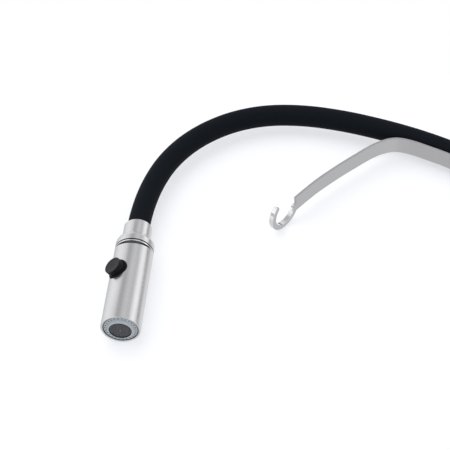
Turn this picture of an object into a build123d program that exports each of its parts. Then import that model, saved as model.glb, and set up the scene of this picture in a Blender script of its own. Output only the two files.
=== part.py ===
"""Pre rinse faucet: deck mixer, slim swivel column, flat steel arm with a hook,
flexible hose and a cylindrical pull-out spray head.

Frame, millimetres: +Z up along the column axis, origin on that axis in the plane
of the deck (underside of the base gasket).  +X points from the column to the side
on which the arm and the spray head reach out, +Y is the lever side.
The hose, the arm and the head lie in the plane Y = 0.

In names, R is a radius, T a thickness, W a width and H a height.
"""
from build123d import *
import math
import os

os.makedirs("parts", exist_ok=True)

# ------------------------------------------------------------------ dimensions
RUN = 0.06                  # radial clearance of the turning and sliding fits

# spray head: heights run along its own axis, from the outlet face at 0
HEAD_FACE = (353.6, 0.0, 353.84)
HEAD_AXIS = (-0.82136, 0.0, 0.57041)      # from the outlet face to the hose
HEAD_R = 17.0
HEAD_BORE_R = 15.2
HEAD_LEN = 85.0
CORE_R = 15.1
RECESS_R, RECESS_START, RECESS_END = 13.6, 82.0, HEAD_LEN + 0.05
RING_END = 86.5
O_RING_END = 87.5
COLLAR_END = 98.0
SPIGOT_R = 9.0              # neck spigot on which the hose collar turns
INSERT_R = 6.0              # valve cage and hose nipple
SLEEVE_R, SLEEVE_END = 12.5, 114.4
HOSE_SEAT = 100.4           # shoulder in the ferrule that the hose stops at
NOZZLE_HOLES = 26
NOZZLE_RING_R = 13.0

# button: its heights are distances from the head axis
BUTTON_PLACE = 54.6         # place of the button along the head
BUTTON_ANGLE = math.radians(38.0)         # around the head, from +Y
BUTTON_R = 8.0
BUTTON_TOP = 22.6
PLUNGER_R = 3.0

# aerator mesh
MESH_R = 8.88
SLOT_PITCH, SLOT_W = 0.98, 0.58
CROSS_BARS = (-5.4, -2.7, 0.0, 2.7, 5.4)

# hose: a chain of links whose pivots follow the hose's rest curve
HOSE_R = 10.0
HOSE_BORE_R = 6.0
LINK_START = 5.2            # relief in front of each ball so the chain can bend
ROOT_FOOT = (0.0, 200.0)
# pivots (x, z), from the column to the head
PIVOTS = [(0.0, 238.1), (1.36, 259.4), (8.67, 294.75), (20.24, 331.3),
          (34.38, 366.12), (52.22, 398.2), (75.7, 425.85), (105.76, 445.22),
          (141.59, 455.4), (177.62, 455.17), (212.62, 445.26), (246.13, 428.47)]

# arm: flat steel strip, wide across Y, bent the easy way in the plane Y = 0
ARM_W, ARM_T = 17.0, 2.5
ARM_FOOT = 150.0
ARM_STEPS = 64              # stations at which the centre line is offset
# centre line (x, z), from the column to the hook
ARM_LINE = [(12.5, 240.0), (13.5, 258.2), (17.5, 278.3), (20.2, 290.2),
            (24.0, 300.6), (27.0, 305.8), (31.0, 309.8), (39.5, 314.8),
            (55.6, 319.8), (70.7, 322.8), (85.8, 325.7), (101.3, 328.1),
            (117.3, 330.1), (133.0, 331.05), (143.6, 331.4), (150.5, 331.5)]
HOOK_CENTRE = (161.2, 2.5, 332.6)
HOOK_R, HOOK_T, HOOK_H = 19.2, 4.9, 4.4
HOOK_INNER_R = HOOK_R - HOOK_T
HOOK_GAP = (50.0, 200.0)    # open sector, degrees from +X towards +Y
HOOK_END_FILLET = 1.7
CLAMP_Z, CLAMP_H, CLAMP_R = 170.0, 24.0, 15.2
SCREW_HEIGHTS = (CLAMP_Z - 6.0, CLAMP_Z + 6.0)
SCREW_R = 2.0

# column
TUBE_R, TUBE_BORE_R = 11.25, 9.2
TUBE_FOOT, TUBE_TOP = 122.2, 222.0
SEAT_R = TUBE_R + 0.02      # bores that hold the tube
RISER_R, RISER_BORE_R = 5.0, 4.0
SWIVEL_R = 13.0             # spigot on the mixer body

# mixer body and deck fixing
BODY_R, BODY_TOP = 24.0, 112.0
BOSS_R, BOSS_END = 22.5, 50.0
SHANK_R, SHANK_BORE_R, SHANK_FOOT = 16.5, 13.6, -52.0
THREAD_START, THREAD_PITCH, THREAD_GROOVES = -50.0, 2.0, 12
TAIL_X = 7.4                # supply tails, either side of the axis
INLET_Z, OUTLET_Z = 60.0, 82.0            # cross holes into the cartridge pocket

# cartridge and lever: heights run along +Y from the column axis
CART_Z = 70.0               # height of the cartridge axis
CART_R, CART_END = 17.5, 40.0
CART_NUT_R = 19.5
DISC_R = 9.4
PIVOT_Y = 36.0              # lever tilt axis
PIN_R = 1.4
STEM_W = 6.0
# ports (x, y) in the cartridge frame: two inlets and the outlet
CART_PORTS = ((TAIL_X, CART_Z - INLET_Z), (-TAIL_X, CART_Z - INLET_Z),
              (0.0, CART_Z - OUTLET_Z))


# ------------------------------------------------------------------ helpers
def save(name, shape):
    shape.label = name
    export_step(shape, f"parts/{name}.step")


def cyl(radius, bottom, top):
    return Pos(0, 0, (bottom + top) / 2) * Cylinder(radius, top - bottom)


def tube(outer, inner, bottom, top):
    return cyl(outer, bottom, top) - cyl(inner, bottom - 1, top + 1)


def turned(points):
    """Solid of revolution about Z from (radius, height) points."""
    profile = make_face(Polyline(*[(r, 0, z) for r, z in points], close=True))
    return revolve(profile, axis=Axis.Z)


def hexagon(radius, half_height):
    return extrude(RegularPolygon(radius, 6), amount=half_height, both=True)


def in_frame(origin, z_dir, x_dir):
    return Plane(origin=origin, z_dir=z_dir, x_dir=x_dir).location


# head frame: local Y is +Y;  button frame, within the head's: local Z points outwards
HEAD = in_frame(HEAD_FACE, HEAD_AXIS, (HEAD_AXIS[2], 0, -HEAD_AXIS[0]))
BUTTON = in_frame((0, 0, BUTTON_PLACE),
                  (math.sin(BUTTON_ANGLE), math.cos(BUTTON_ANGLE), 0), (0, 0, 1))
Z_TO_Y = Rot(-90, 0, 0)
Z_TO_X = Rot(0, 90, 0)
# cartridge frame: local Z runs along +Y, local Y along -Z
CART = Pos(0, 0, CART_Z) * Z_TO_Y
PIN = Pos(0, 0, PIVOT_Y) * Z_TO_X         # tilt axis, within the cartridge frame

# =================================================================== spray head
# shell: tube with a rolled lip round the outlet and a hole for the button
shell = turned([(HEAD_BORE_R, 0.5), (HEAD_BORE_R + 0.5, 0.0), (HEAD_R - 0.7, 0.0),
                (HEAD_R - 0.2, 0.25), (HEAD_R, 0.8), (HEAD_R, HEAD_LEN - 0.3),
                (HEAD_R - 0.3, HEAD_LEN), (HEAD_BORE_R, HEAD_LEN)])
shell -= BUTTON * cyl(BUTTON_R + 0.9, 5, 30)
# slanting relief across the rear edge, on the +Y side
relief = make_face(Polyline((0, 4.0, HEAD_LEN), (0, 18.0, 81.55), (0, 18.0, 88.0),
                            (0, 4.0, 88.0), close=True))
shell -= extrude(relief, amount=20, dir=(1, 0, 0), both=True)
save("head_shell", HEAD * shell)

# core: water body inside the shell, with the valve chamber across it
core = cyl(CORE_R, 8.2, 81.2)
core -= cyl(12.4, 7, 20)
core -= cyl(3.6, 19, 49)
core -= cyl(3.6, 62, 83)
core -= BUTTON * cyl(PLUNGER_R + RUN, -9.0, 20)
core -= BUTTON * cyl(BUTTON_R + 0.35, 4.6, 30)
core -= Pos(4.8, 0, 55.5) * Cylinder(1.6, 16)
core -= Pos(-5.4, 0, 66) * Cylinder(1.6, 8)
save("head_core", HEAD * core)

# nozzle plate: ring of countersunk jets round a rim that stands out of the outlet
plate = turned([(9.7, -1.4), (10.2, -1.2), (11.1, -0.6), (12.0, 0.7), (14.1, 0.7),
                (14.35, 0.95), (14.35, 3.0), (CORE_R, 3.3), (CORE_R, 8.1), (12.5, 8.1),
                (12.5, 4.2), (9.7, 4.2)])
for i in range(NOZZLE_HOLES):
    turn = Rot(0, 0, 360.0 / NOZZLE_HOLES * i)
    plate -= turn * Pos(NOZZLE_RING_R, 0, 3) * Cylinder(0.45, 14)
    plate -= turn * Pos(NOZZLE_RING_R, 0, 0.7) * Cylinder(0.7, 1.6)
save("nozzle_plate", HEAD * plate)

# seal between plate and core
save("face_seal", HEAD * tube(12.3, 11.0, 5.4, 8.1))

# aerator housing: cup with a thin rim
save("aerator_housing", HEAD * turned([
    (8.9, -1.25), (9.05, -1.4), (9.35, -1.4), (9.6, -1.15), (9.6, 5.2), (10.9, 5.2),
    (10.9, 9.6), (9.0, 9.6), (9.0, 0.15), (8.9, 0.15)]))

# aerator mesh: slotted disc with cross bars, a centre boss and a skirt
mesh = cyl(MESH_R, -0.65, 0.1)
for i in range(-8, 9):
    y = i * SLOT_PITCH
    slot_length = 2 * math.sqrt(8.3 ** 2 - y ** 2)
    mesh -= Pos(0, y, -0.3) * Box(slot_length, SLOT_W, 3)
for x in CROSS_BARS:
    mesh += Pos(x, 0, -0.15) * Box(0.4, 2 * math.sqrt(8.5 ** 2 - x ** 2), 0.5)
mesh += cyl(1.0, -0.95, 0.1)
mesh += tube(MESH_R - 0.02, 8.3, 0.0, 4.9)
save("aerator_mesh", HEAD * mesh)

# saddle: collar in the shell's hole, round the button
saddle = (BUTTON * cyl(9.8, 10.0, 18.4)) & (cyl(18.3, 40, 72) - cyl(15.16, 39, 73))
saddle -= BUTTON * cyl(BUTTON_R + 0.25, 5, 30)
saddle -= cyl(HEAD_R, 40, 72) - BUTTON * cyl(BUTTON_R + 0.82, 5, 30)
save("button_saddle", HEAD * saddle)

# cap with a dished face, on a plunger, with a spring under it
cap = turned([(0, 9.2), (3.4, 9.2), (3.4, 10.6), (BUTTON_R - 0.2, 10.6), (BUTTON_R, 10.9),
              (BUTTON_R, BUTTON_TOP - 0.7), (BUTTON_R - 0.3, BUTTON_TOP - 0.15),
              (BUTTON_R - 0.8, BUTTON_TOP), (4.6, BUTTON_TOP - 0.25),
              (2.2, BUTTON_TOP - 0.45), (0, BUTTON_TOP - 0.5)])
save("button_cap", HEAD * (BUTTON * cap))
plunger = turned([(0, -6.0), (2.4, -6.0), (PLUNGER_R, -5.4), (PLUNGER_R, -2.6), (2.2, -2.0),
                  (2.2, 0.4), (PLUNGER_R, 1.0), (PLUNGER_R, 9.1), (0, 9.1)])
save("diverter_plunger", HEAD * (BUTTON * plunger))
helix = Helix(pitch=1.5, height=5.1, radius=5.2)
spring = sweep(Plane(origin=helix @ 0, z_dir=helix % 0) * Circle(0.4), path=helix)
save("button_spring", HEAD * (BUTTON * (Pos(0, 0, 5.05) * spring)))

# neck: adaptor with the swivel spigot, and the thin ring round it
save("neck_adaptor", HEAD * turned([
    (4.2, 81.3), (CORE_R, 81.3), (CORE_R, RECESS_START), (RECESS_R, RECESS_START + 0.05),
    (RECESS_R, RECESS_END), (SPIGOT_R, RECESS_END), (SPIGOT_R, 95.6), (6.0, 95.6),
    (6.0, 84.5), (4.2, 84.5)]))
save("neck_ring", HEAD * turned([
    (9.1, RECESS_END), (HEAD_R - 0.15, RECESS_END), (HEAD_R, RECESS_END + 0.15),
    (HEAD_R, RING_END - 0.18), (HEAD_R - 0.15, RING_END - 0.03), (9.1, RING_END - 0.03)]))
save("check_valve_cage", HEAD * turned([
    (2.0, 84.7), (INSERT_R - 0.1, 84.7), (INSERT_R - 0.1, 94.8), (3.6, 94.8), (3.6, 92.6),
    (2.0, 92.6)]))

# hose end: O-ring, collar, ferrule sleeve and the barbed nipple in the hose
save("collar_o_ring", HEAD * tube(16.85, 9.4, RING_END, O_RING_END - 0.02))
save("hose_collar", HEAD * turned([
    (SPIGOT_R + RUN, O_RING_END), (16.9, O_RING_END), (HEAD_R, O_RING_END + 0.2),
    (HEAD_R, 92.6), (16.8, 94.0), (16.1, 95.4), (14.9, 96.7), (13.6, 97.5),
    (12.4, COLLAR_END), (INSERT_R + 0.05, COLLAR_END), (INSERT_R + 0.05, 96.0),
    (SPIGOT_R + RUN, 96.0)]))
save("hose_ferrule", HEAD * turned([
    (INSERT_R + 0.05, COLLAR_END + 0.02), (SLEEVE_R - 0.1, COLLAR_END + 0.02),
    (SLEEVE_R, COLLAR_END + 0.3), (SLEEVE_R, SLEEVE_END - 0.5),
    (SLEEVE_R - 0.4, SLEEVE_END), (HOSE_R + 0.35, SLEEVE_END),
    (HOSE_R + 0.05, SLEEVE_END - 0.4), (HOSE_R + 0.05, HOSE_SEAT),
    (INSERT_R + 0.05, HOSE_SEAT)]))
save("hose_nipple", HEAD * turned([
    (4.0, 96.1), (INSERT_R, 96.1), (INSERT_R, 100.8), (5.7, 100.8), (5.95, 102.0),
    (5.6, 104.0), (5.95, 105.2), (5.6, 107.2), (5.95, 108.4), (5.5, 110.6), (5.2, 111.6),
    (4.0, 111.6)]))


# =================================================================== hose chain
def link(start, end, relief_length, cup=True, ball=True):
    """Straight link between (x, z) points: cup at start, ball at end, bored through."""
    origin = Vector(start[0], 0, start[1])
    run = Vector(end[0], 0, end[1]) - origin
    length = run.length
    body = cyl(HOSE_R, relief_length, length)
    if cup:
        body -= Sphere(HOSE_R + RUN)
    if ball:
        body += Pos(0, 0, length) * Sphere(HOSE_R)
    body -= cyl(HOSE_BORE_R, -5, length + 14)
    return in_frame(tuple(origin), tuple(run.normalized()), (0, 1, 0)) * body


# the root link stands in the bush at the top of the column
save("hose_root", link(ROOT_FOOT, PIVOTS[0], 23.4, cup=False))
for number, (start, end) in enumerate(zip(PIVOTS, PIVOTS[1:]), 1):
    save(f"hose_link_{number:02d}", link(start, end, LINK_START))
tip = Vector(*HEAD_FACE) + Vector(*HEAD_AXIS) * (HOSE_SEAT + 0.1)
save("hose_tip", link(PIVOTS[-1], (tip.X, tip.Z), LINK_START, ball=False))


# =================================================================== arm and hook
def strip_face(line, thickness, foot):
    """Side view of the strip: the line offset to both sides, then straight down to foot."""
    middle = Spline(*[Vector(x, 0, z) for x, z in line], tangents=[(0, 0, 1), (1, 0, 0.02)])
    left, right = [], []
    for i in range(ARM_STEPS + 1):
        point = middle @ (i / ARM_STEPS)
        tangent = (middle % (i / ARM_STEPS)).normalized()
        across_x = tangent.Z * thickness / 2
        across_z = -tangent.X * thickness / 2
        left.append(Vector(point.X - across_x, 0, point.Z - across_z))
        right.append(Vector(point.X + across_x, 0, point.Z + across_z))
    left_foot = Vector(left[0].X, 0, foot)
    right_foot = Vector(right[0].X, 0, foot)
    return make_face([Spline(*left), Line(left[-1], right[-1]), Spline(*right),
                      Line(right[0], right_foot), Line(right_foot, left_foot),
                      Line(left_foot, left[0])])


arm = extrude(strip_face(ARM_LINE, ARM_T, ARM_FOOT), amount=ARM_W / 2, dir=(0, 1, 0),
              both=True)
# the free end is hollowed to follow the inside of the hook
arm -= Pos(*HOOK_CENTRE) * Cylinder(HOOK_INNER_R, 20)
save("arm_strip", arm)

# hook: open ring of narrow strip, its closed side tucked against the end of the arm
hook = Cylinder(HOOK_R, HOOK_H) - Cylinder(HOOK_INNER_R, HOOK_H + 2)
gap_start, gap_end = HOOK_GAP
gap_angles = [math.radians(gap_start + (gap_end - gap_start) * i / 8) for i in range(9)]
gap = make_face(Polyline((0, 0, 0), *[(60 * math.cos(angle), 60 * math.sin(angle), 0)
                                      for angle in gap_angles], close=True))
hook -= extrude(gap, amount=20, both=True)
# round the radial edges of the end on the +X side
end_edges = [edge for edge in hook.edges()
             if abs(edge.length - HOOK_T) < 0.1 and edge.center().X > 0]
hook = fillet(end_edges, HOOK_END_FILLET)
hook = Pos(*HOOK_CENTRE) * hook
hook -= arm
save("arm_hook", hook)

# clamp that ties the strip to the column, with two grub screws
clamp = Pos(0, 0, CLAMP_Z) * Cylinder(CLAMP_R, CLAMP_H)
clamp += Pos(9.0, 0, CLAMP_Z) * Box(17.0, 21.4, CLAMP_H)
clamp -= cyl(SEAT_R, CLAMP_Z - 20, CLAMP_Z + 20)
clamp -= Pos(TUBE_R + ARM_T / 2, 0, CLAMP_Z) * Box(ARM_T + 0.04, ARM_W + 0.1, 40)
for z in SCREW_HEIGHTS:
    clamp -= Pos(16, 0, z) * Z_TO_X * Cylinder(SCREW_R + 0.05, 8)
save("arm_clamp", clamp)
screw = Cylinder(SCREW_R, 3.5) - Pos(0, 0, 1.2) * extrude(RegularPolygon(1.0, 6), amount=2)
low_screw, high_screw = [Pos(15.6, 0, z) * Z_TO_X * screw for z in SCREW_HEIGHTS]
save("clamp_screws", low_screw + high_screw)

# =================================================================== column
save("column_tube", turned([(TUBE_BORE_R, TUBE_FOOT), (TUBE_R, TUBE_FOOT),
                            (TUBE_R, TUBE_TOP), (TUBE_BORE_R, TUBE_TOP)]))
save("top_bush", turned([
    (8.05 + RUN, 216.0), (9.15, 216.0), (9.15, TUBE_TOP + 0.02), (TUBE_R, TUBE_TOP + 0.02),
    (TUBE_R, 233.4), (TUBE_R - 0.6, 234.0), (HOSE_R + 0.5, 234.0), (HOSE_R + RUN, 233.6),
    (HOSE_R + RUN, 222.9), (8.05 + RUN, 222.9)]))
save("root_connector", turned([
    (RISER_R + RUN, 190.0), (7.6, 190.0), (7.6, 208.0), (8.9, 208.0), (8.9, 215.9),
    (8.05, 215.9), (8.05, 223.0), (5.9, 223.0), (5.9, 226.0), (5.6, 228.0), (5.9, 229.2),
    (5.4, 232.0), (3.4, 232.0), (3.4, 206.0), (RISER_R + RUN, 206.0)]))
save("riser_tube", turned([(RISER_BORE_R, 116.3), (RISER_R, 116.3), (RISER_R, 204.0),
                           (RISER_BORE_R, 204.0)]))
save("column_socket", turned([
    (SWIVEL_R + RUN, 112.3), (19.6, 112.3), (20.0, 112.7), (20.0, 128.0), (18.5, 138.0),
    (14.0, 147.5), (12.4, 149.4), (SEAT_R, 149.4), (SEAT_R, TUBE_FOOT), (SEAT_R, 122.0),
    (5.1, 122.0), (5.1, 120.2), (SWIVEL_R + RUN, 120.2)]))

# =================================================================== mixer body
body = turned([(0, 8.1), (BODY_R, 8.1), (BODY_R, 108.5), (BODY_R - 2.6, 111.4),
               (20.0, BODY_TOP), (SWIVEL_R, BODY_TOP), (SWIVEL_R, 119.6), (0, 119.6)])
body += CART * cyl(BOSS_R, 0, BOSS_END)
# pockets for the cartridge and its nut
body -= CART * cyl(CART_R + 0.05, 14.0, 60)
body -= CART * cyl(CART_NUT_R + 0.1, CART_END, 60)
# outlet bore with the riser seat above it
body -= cyl(4.6, 88.0, 116.4)
body -= cyl(RISER_R + 0.04, 116.2, 130)
body -= cyl(4.6, 80.0, 90.0)
body -= Pos(0, 0, OUTLET_Z) * Z_TO_Y * cyl(2.6, 0.0, 15.0)
# inlet bores with the stub seats below them
for x in (-TAIL_X, TAIL_X):
    body -= Pos(x, 0, 0) * cyl(5.1, 0, 30)
    body -= Pos(x, 0, 0) * cyl(3.0, 20, INLET_Z)
    body -= Pos(x, 0, INLET_Z) * Z_TO_Y * cyl(2.6, 0.0, 15.0)
# O-ring groove round the swivel spigot
body -= tube(14.0, 12.2, 115.0, 116.6)
save("mixer_body", body)
save("swivel_o_ring", tube(SWIVEL_R, 12.25, 115.05, 116.55))

# deck fixing: flange, gasket, threaded shank, washers and nut
save("base_flange", turned([(17.0, 1.6), (29.0, 1.6), (29.5, 2.1), (29.5, 4.4), (27.4, 7.2),
                            (25.6, 8.0), (17.0, 8.0)]))
save("base_gasket", turned([(17.2, 0.0), (28.4, 0.0), (28.4, 1.5), (17.2, 1.5)]))
shank = turned([(SHANK_BORE_R, SHANK_FOOT), (SHANK_R - 0.6, SHANK_FOOT),
                (SHANK_R, SHANK_FOOT + 0.8), (SHANK_R, 8.0), (SHANK_BORE_R, 8.0)])
for i in range(THREAD_GROOVES):
    z = THREAD_START + i * THREAD_PITCH
    shank -= turned([(SHANK_R - 0.45, z + 0.5), (SHANK_R + 0.1, z - 0.05),
                     (SHANK_R + 0.1, z + 1.05)])
save("threaded_shank", shank)
save("rubber_washer", tube(27.0, SHANK_R + 0.15, -33.0, -30.0))
save("steel_washer", tube(28.0, SHANK_R + 0.15, -34.6, -33.02))
nut = Pos(0, 0, -39.1) * hexagon(27.0, 4.4)
# turned envelope that bevels the corners of the hexagon
nut = nut & turned([(0, -44.0), (24.2, -44.0), (27.6, -42.4), (27.6, -36.0), (26.2, -34.7),
                    (0, -34.7)])
nut -= cyl(SHANK_R + 0.04, -60, -20)
save("shank_nut", nut)


# water supply: two flexible tails with their union nuts
def supply_pair(shape):
    return Compound([Pos(x, 0, 0) * shape for x in (-TAIL_X, TAIL_X)])


save("tail_stubs", supply_pair(turned([(3.0, -12.0), (5.0, -12.0), (5.0, 19.6),
                                       (3.0, 19.6)])))
save("tail_hoses", supply_pair(tube(5.8, 3.6, -206.0, -12.1)))
union = Pos(0, 0, -216.0) * Rot(0, 0, 30) * hexagon(7.0, 9.5)
union -= cyl(5.2, -230, -209.9)
union -= cyl(4.4, -212, -205)
save("tail_unions", supply_pair(union))

# =================================================================== cartridge
housing = turned([(0, 14.02), (CART_R, 14.02), (CART_R, CART_END), (9.1, CART_END),
                  (9.1, 34.1), (15.0, 34.1), (15.0, 15.9), (0, 15.9)])
for x, y in CART_PORTS:
    housing -= Pos(x, y, 14) * Cylinder(2.2, 10)
save("cartridge_housing", CART * housing)

fixed_disc = cyl(14.7, 16.0, 19.9)
for x, y in CART_PORTS:
    fixed_disc -= Pos(x, y, 18) * Cylinder(2.0, 10)
save("ceramic_disc_fixed", CART * fixed_disc)

moving_disc = cyl(DISC_R, 20.0, 22.4)
moving_disc -= Pos(0, -1.0, 20.5) * Box(6.0, 9.0, 1.6)
save("ceramic_disc_moving", CART * moving_disc)

carrier = cyl(DISC_R, 22.5, 28.0)
carrier -= cyl(2.56, 22.3, 30)
carrier -= Pos(0, 0, 28.9) * Box(7.0, 12.0, 4.0)
save("disc_carrier", CART * carrier)

# yoke: flanged sleeve with a cheek on each side of the stem
yoke = turned([(6.6, 28.8), (14.7, 28.8), (14.7, 33.9), (8.9, 33.9), (8.9, 39.6),
               (6.6, 39.6)])
for x in (6.4, -6.4):
    yoke += (Pos(x, 0, 36.4) * Box(3.2, 11.0, 6.2)) & cyl(8.9, 30, 45)
yoke -= PIN * Cylinder(PIN_R + 0.05, 40)
save("cartridge_yoke", CART * yoke)
save("yoke_pin", CART * (PIN * Cylinder(PIN_R, 17.2)))

save("cartridge_nut", CART * turned([
    (12.5, 40.02), (CART_NUT_R, 40.02), (CART_NUT_R, 46.4), (18.9, 47.0), (13.1, 47.0),
    (12.5, 46.4)]))

# =================================================================== lever
# stem: square bar, with a ball on a thin tail that sits in the disc carrier
stem = Pos(0, 0, 48.75) * Box(STEM_W, STEM_W, 29.5)
stem = stem + Pos(0, 0, 29.5) * Cylinder(1.6, 11.0) + Pos(0, 0, 25.0) * Sphere(2.4)
stem -= PIN * Cylinder(PIN_R + 0.06, 40)
save("lever_stem", CART * stem)


def cap_shell(outer, inner, floor):
    """Spherical cap about the lever pivot, kept above the floor."""
    ball = Pos(0, 0, PIVOT_Y) * (Sphere(outer) - Sphere(inner))
    return ball & cyl(60, floor, 90)


dome = cap_shell(26.0, 24.2, BOSS_END + 0.05)
dome -= cyl(15.0, 30, 90)
dome = dome & cyl(BOSS_R, 40, 90)
save("dome_cover", CART * dome)

# lever: domed hub with a blind square socket for the stem, and a blade that points up
hub = cap_shell(30.0, 26.5, 51.4)
hub += cyl(9.0, 62.3, 67.6)
hub += cyl(14.0, 64.2, 67.6)
hub -= (Pos(0, 0, 61.0) * Box(STEM_W + 0.1, STEM_W + 0.1, 20.6)) & cyl(30, 40, 63.7)
blade = Pos(0, -50.0, 66.2) * Box(13.0, 88.0, 4.0)
blade = fillet(blade.edges().filter_by(Axis.Z), 5.5)
save("lever", CART * (hub + blade))
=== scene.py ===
# A kitchen mixer tap with a pull-out spray head on a flexible hose.
# The column stands on the origin along +Z. The hose arches from its top towards +X and ends
# in the spray head, which an arm with an open hook holds. The cartridge and lever are on the
# +Y side. The camera and the white table use a second frame in which +Y is up, so that the
# tap lies on its back. Lengths are in millimetres and become metres when a mesh is made.
import math
import bpy
import bmesh
import numpy as np
from mathutils import Matrix, Vector


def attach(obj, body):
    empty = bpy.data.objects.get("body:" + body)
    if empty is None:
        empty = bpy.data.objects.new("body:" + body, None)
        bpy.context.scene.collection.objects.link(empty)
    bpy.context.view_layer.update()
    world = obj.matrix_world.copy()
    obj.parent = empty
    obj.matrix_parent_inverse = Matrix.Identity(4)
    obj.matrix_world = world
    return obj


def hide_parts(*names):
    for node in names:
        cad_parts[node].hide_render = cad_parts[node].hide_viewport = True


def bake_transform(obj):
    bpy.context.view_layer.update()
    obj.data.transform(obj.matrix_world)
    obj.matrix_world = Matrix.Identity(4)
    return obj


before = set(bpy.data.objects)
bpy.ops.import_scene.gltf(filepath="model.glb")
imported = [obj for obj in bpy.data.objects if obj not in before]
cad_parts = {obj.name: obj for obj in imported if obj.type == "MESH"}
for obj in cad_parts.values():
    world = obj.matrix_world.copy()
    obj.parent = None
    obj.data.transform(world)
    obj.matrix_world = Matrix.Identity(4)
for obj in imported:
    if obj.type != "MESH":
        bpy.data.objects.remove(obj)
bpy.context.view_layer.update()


def vec(*components):
    return np.array(components, float)


# ------------------------------------------------------------------ dimensions
MM = 0.001
ORIGIN = vec(0, 0, 0)
DIR_X, DIR_Y, DIR_Z = vec(1, 0, 0), vec(0, 1, 0), vec(0, 0, 1)

# spray head: its axis runs from the spray face back towards the hose
HEAD_FACE = vec(353.6, 0.0, 353.84)
HEAD_AXIS = vec(-0.82136, 0.0, 0.57041)
HEAD_AXIS /= np.linalg.norm(HEAD_AXIS)
HEAD_X = vec(HEAD_AXIS[2], 0.0, -HEAD_AXIS[0])
HEAD_R, HEAD_LENGTH = 17.0, 85.0

# push button: its axis leans from +Y towards HEAD_X
BUTTON_LEAN = math.radians(38)
BUTTON_AXIS = HEAD_X * math.sin(BUTTON_LEAN) + DIR_Y * math.cos(BUTTON_LEAN)
BUTTON_CENTRE = HEAD_FACE + HEAD_AXIS * 54.6
BUTTON_ACROSS = np.cross(BUTTON_AXIS, HEAD_AXIS)
BUTTON_R = 8.0
BUTTON_FACE_SPAN = (21.95, 22.15)  # heights between which the cap turns pale

# hose: (x, z) of the joints between its rigid links, from the column to the head
HOSE_R, HOSE_BORE_R = 10.0, 6.0
HOSE_JOINTS = [
    (0.0, 238.1), (1.36, 259.4), (8.67, 294.75), (20.24, 331.3), (34.38, 366.12),
    (52.22, 398.2), (75.7, 425.85), (105.76, 445.22), (141.59, 455.4),
    (177.62, 455.17), (212.62, 445.26), (246.13, 428.47)]
HOSE_START = vec(0, 0, 226.0)
HOSE_END = HEAD_FACE + HEAD_AXIS * 112.0

# arm: (x, z) along the centre line of the bent strip, from the column to the hook
ARM_LINE = [
    (12.5, 150.0), (12.5, 195.0), (12.5, 240.0), (13.5, 258.2), (17.5, 278.3),
    (20.2, 290.2), (24.0, 300.6), (27.0, 305.8), (31.0, 309.8), (39.5, 314.8),
    (55.6, 319.8), (70.7, 322.8), (85.8, 325.7), (101.3, 328.1), (117.3, 330.1),
    (133.0, 331.05), (143.6, 331.4), (150.5, 331.5)]
ARM_WIDTH, ARM_THICK = 17.0, 2.5
HOOK_CENTRE = vec(161.2, 2.5, 332.6)
HOOK_R, HOOK_THICK, HOOK_HEIGHT = 19.2, 4.9, 4.4
HOOK_START, HOOK_STOP = math.radians(200.0), math.radians(410.0)
HOOK_TIP_R = 2.4

COLUMN_R, COLUMN_TOP = 11.25, 222.0
BODY_R = 24.0
CARTRIDGE_CENTRE = vec(0, 0, 70.0)
PIVOT_Y = 36.0  # centre of the dome and of the lever's swing
BLADE_BOTTOM, BLADE_TOP, BLADE_Y = 64.0, 164.0, 66.2
BLADE_WIDTH, BLADE_THICK = 13.0, 4.0

SHANK_BOTTOM, SHANK_TOP = -52.0, 8.0
SHANK_R, SHANK_BORE_R = 16.5, 13.6
THREAD_PITCH, THREAD_DEPTH = 2.0, 0.5

# places for turned parts: origin, axis of the turning, direction of the first vertex
UPRIGHT = (ORIGIN, DIR_Z, DIR_X)
ALONG_HEAD = (HEAD_FACE, HEAD_AXIS, HEAD_X)
ALONG_CARTRIDGE = (CARTRIDGE_CENTRE, DIR_Y, DIR_X)
ALONG_BUTTON = (BUTTON_CENTRE, BUTTON_AXIS, HEAD_AXIS)


# ------------------------------------------------------------------ shader graphs
class Graph:
    """Short ways of adding nodes to a node tree."""

    def __init__(self, tree):
        self.tree = tree

    def new(self, kind, **settings):
        node = self.tree.nodes.new(kind)
        for key, value in settings.items():
            setattr(node, key, value)
        return node

    def put(self, socket, value):
        """Link a socket, or set a plain value; three-part colours get full alpha."""
        if isinstance(value, bpy.types.NodeSocket):
            self.tree.links.new(value, socket)
        elif socket.type == "RGBA" and len(value) == 3:
            socket.default_value = (*value, 1.0)
        else:
            socket.default_value = value

    def dot(self, vector, direction):
        node = self.new("ShaderNodeVectorMath", operation="DOT_PRODUCT")
        self.put(node.inputs[0], vector)
        self.put(node.inputs[1], tuple(float(c) for c in direction))
        return node.outputs["Value"]

    def math(self, operation, *operands):
        node = self.new("ShaderNodeMath", operation=operation)
        for socket, value in zip(node.inputs, operands):
            self.put(socket, value)
        return node.outputs[0]

    def remap(self, value, span=(0.3, 0.7), to=(0.0, 1.0)):
        node = self.new("ShaderNodeMapRange")
        node.inputs["From Min"].default_value, node.inputs["From Max"].default_value = span
        node.inputs["To Min"].default_value, node.inputs["To Max"].default_value = to
        self.put(node.inputs["Value"], value)
        return node.outputs["Result"]

    def mix_shader(self, factor, first, second):
        node = self.new("ShaderNodeMixShader")
        for socket, value in zip(node.inputs, (factor, first, second)):
            self.put(socket, value)
        return node.outputs[0]

    def light(self, kind, color, strength=1.0):
        """An Emission or Background node."""
        node = self.new(kind)
        self.put(node.inputs[0], color)
        self.put(node.inputs[1], strength)
        return node.outputs[0]


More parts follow.
